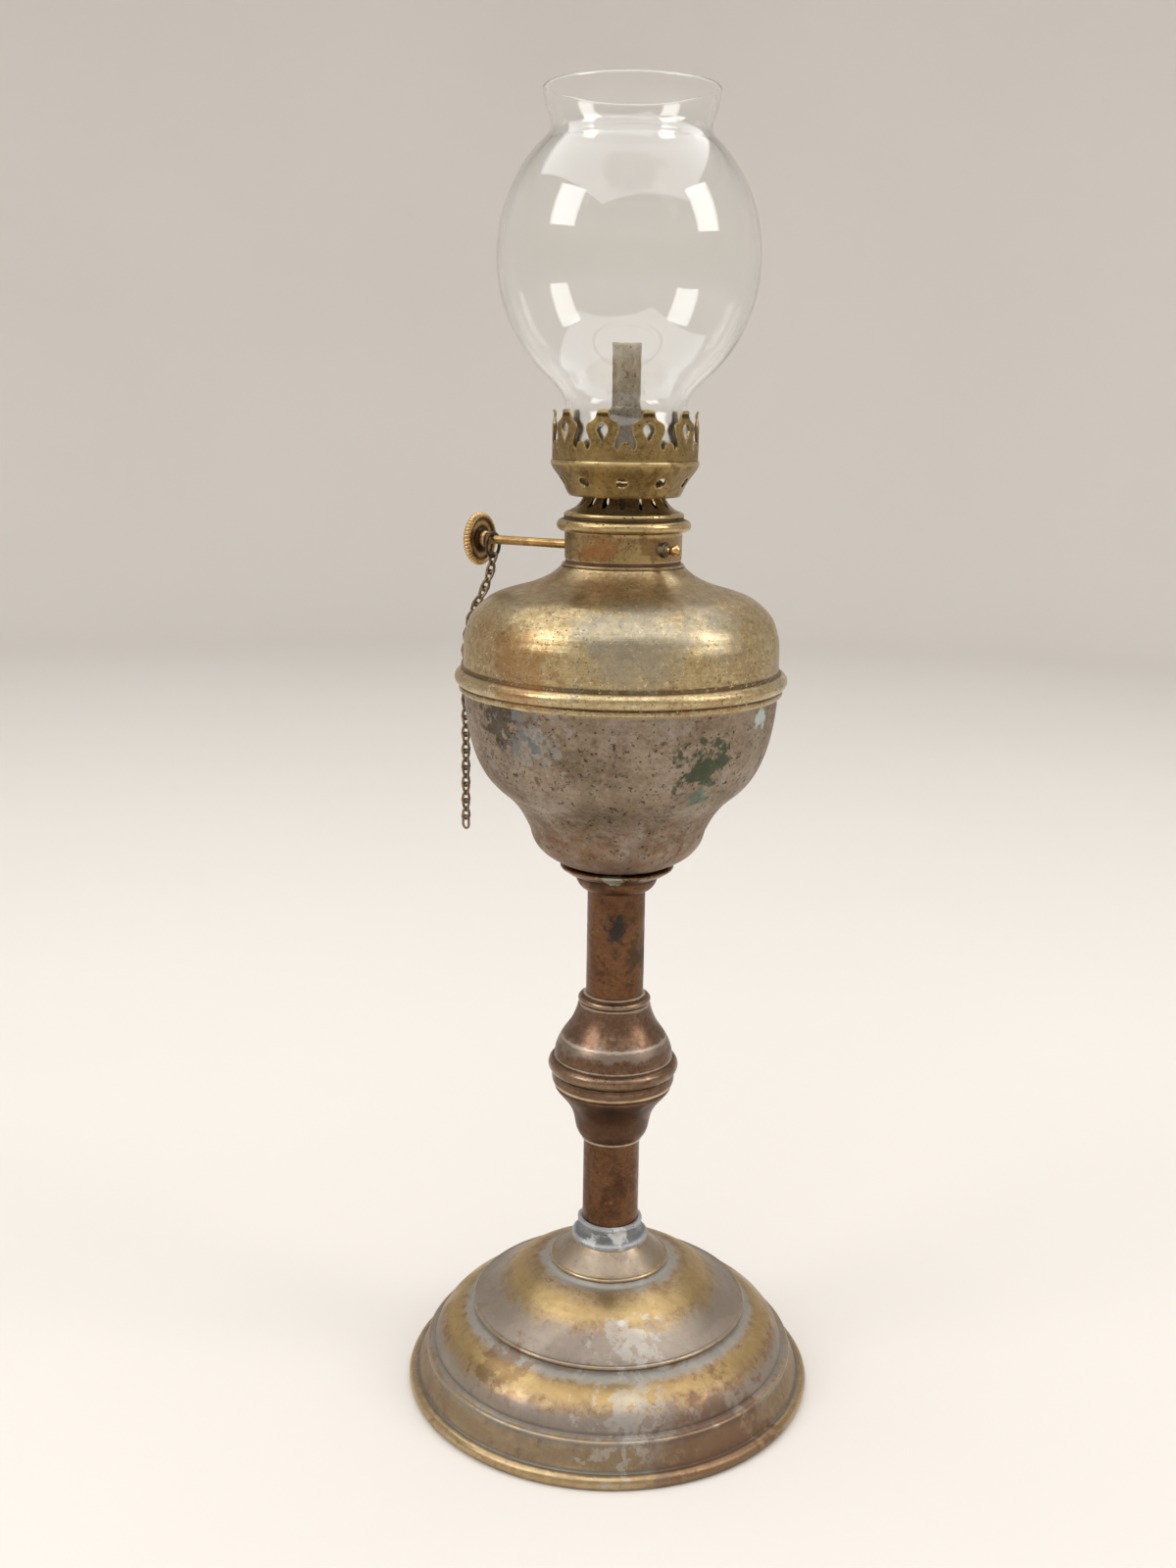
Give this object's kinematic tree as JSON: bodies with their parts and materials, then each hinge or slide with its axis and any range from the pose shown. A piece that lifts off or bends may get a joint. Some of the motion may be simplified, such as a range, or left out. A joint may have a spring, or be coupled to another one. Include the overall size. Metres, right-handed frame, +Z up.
{
  "type": "pedestal oil lamp",
  "caption": "Brass pedestal table oil lamp: stepped round foot, stem with knop, belted font, side-wound round-wick burner, pronged gallery and ball glass.",
  "frame": {"origin": "centre of the circle that the foot rests on, at the level of the table", "axes": "+Z up along the lamp's axis; the winder shaft is parallel to X, with its knob at -X; -Y is the side of the pinion"},
  "size_m": [0.1108, 0.1108, 0.3377],
  "materials": {
    "foot_brass": "spun brass, aged, with worn highlights and grey oxide in the grooves",
    "lead_solder": "dull grey soldered ferrule with pale oxide",
    "stem_copper": "brown tarnished brass tube with dark spots",
    "knop_copper": "brown tarnished brass with worn bright lines",
    "bowl_tarnish": "dull grey-brown tarnish with pits and verdigris",
    "dome_brass": "aged polished brass with mottled patina",
    "cotton": "undyed cotton",
    "washer_fibre": "dark oiled leather washer",
    "burner_brass": "worn brass with brown tints",
    "burnt_tube": "heat-dulled speckled brass",
    "winder_brass": "golden worn brass",
    "gallery_brass": "matte olive-toned aged brass",
    "clear_glass": "clear blown glass",
    "dark_metal": "blackened steel",
    "chain_metal": "dark dull brass wire"
  },
  "bodies": {
    "stand": {"foot_shell": "foot_brass", "foot_ferrule": "lead_solder", "stem_lower_tube": "stem_copper", "knop_lower_shell": "knop_copper", "knop_upper_shell": "knop_copper", "stem_upper_tube": "stem_copper", "font_socket": "stem_copper", "font_bowl": "bowl_tarnish", "font_dome": "dome_brass", "font_collar": "dome_brass", "fuel_wadding": "cotton"},
    "washer": {"sealing_washer": "washer_fibre"},
    "burner": {"burner_screw": "burner_brass", "burner_casing": "burner_brass", "burner_cap": "burner_brass", "wick_tube": "burnt_tube", "wick_sleeve": "burnt_tube", "pinion_cage": "burner_brass", "shaft_gland": "dark_metal"},
    "winder": {"winder_shaft": "winder_brass", "wick_pinion": "winder_brass", "winder_knob": "winder_brass", "shaft_end_ball": "winder_brass"},
    "wick": {"wick": "cotton"},
    "gallery": {"gallery_skirt": "gallery_brass", "gallery_floor": "gallery_brass", "gallery_crown": "gallery_brass", "chimney_seat": "gallery_brass"},
    "chimney": {"chimney": "clear_glass"},
    "chain": {"chain_ring": "dark_metal", "chain_upper_links": "chain_metal"},
    "chain_tail": {"chain_tail_links": "chain_metal", "chain_end_link": "chain_metal"}
  },
  "joints": [
    {"name": "burner_rise", "type": "slide", "parent": "stand", "child": "washer", "axis": [0, 0, 1], "range_m": [0, 0.0069]},
    {"name": "burner_turn", "type": "hinge", "parent": "washer", "child": "burner", "pos_m": [0, 0, 0.222], "axis": [0, 0, 1], "range_deg": [0, 2160]},
    {"name": "winder_turn", "type": "hinge", "parent": "burner", "child": "winder", "pos_m": [0, -0.0048, 0.2297], "axis": [1, 0, 0], "range_deg": [-180, 240]},
    {"name": "wick_rise", "type": "slide", "parent": "burner", "child": "wick", "axis": [0, 0, 1], "range_m": [-0.006, 0.008]},
    {"name": "gallery_lift", "type": "slide", "parent": "burner", "child": "gallery", "axis": [0, 0, 1], "range_m": [0, 0.045]},
    {"name": "chimney_lift", "type": "slide", "parent": "gallery", "child": "chimney", "axis": [0, 0, 1], "range_m": [0, 0.045]},
    {"name": "chain_swing", "type": "hinge", "parent": "burner", "child": "chain", "pos_m": [-0.036, -0.0048, 0.2297], "axis": [1, 0, 0], "range_deg": [-50, 5]},
    {"name": "tail_swing", "type": "hinge", "parent": "chain", "child": "chain_tail", "pos_m": [-0.0437, -0.006, 0.18968], "axis": [0.2756, 0.9613, 0], "range_deg": [-15, 50]}
  ],
  "couplings": [
    {"joint": "burner_rise", "follows": "burner_turn", "m_per_rad": 0.00018303},
    {"joint": "wick_rise", "follows": "winder_turn", "m_per_rad": 0.0019}
  ]
}
